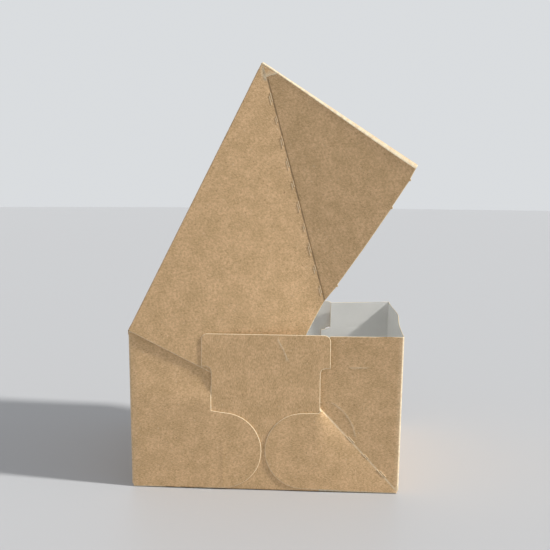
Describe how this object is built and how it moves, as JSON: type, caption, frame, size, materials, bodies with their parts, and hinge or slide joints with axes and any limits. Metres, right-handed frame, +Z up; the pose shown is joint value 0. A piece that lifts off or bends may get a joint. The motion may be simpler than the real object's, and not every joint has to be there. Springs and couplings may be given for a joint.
{
  "type": "window cake box",
  "caption": "Square kraft board cake box with a hinged lid that has a clear film window, shown with its lid propped open.",
  "frame": {"origin": "middle of the underside of the tray's bottom", "axes": "+Z up, +X towards the front, which is the side that opens, and the lid's hinge runs along Y at the top of the rear wall"},
  "size_m": [0.1637, 0.1586, 0.2443],
  "materials": {
    "kraft_board": "matte kraft outside, white inside",
    "clear_film": "clear gloss film"
  },
  "bodies": {
    "tray": {"tray": "kraft_board"},
    "lid": {"lid": "kraft_board", "window_film": "clear_film"}
  },
  "joints": [
    {"name": "lid_hinge", "type": "hinge", "parent": "tray", "child": "lid", "pos_m": [-0.0791, 0, 0.092], "axis": [0, -1, 0], "range_deg": [-59, 116]}
  ]
}
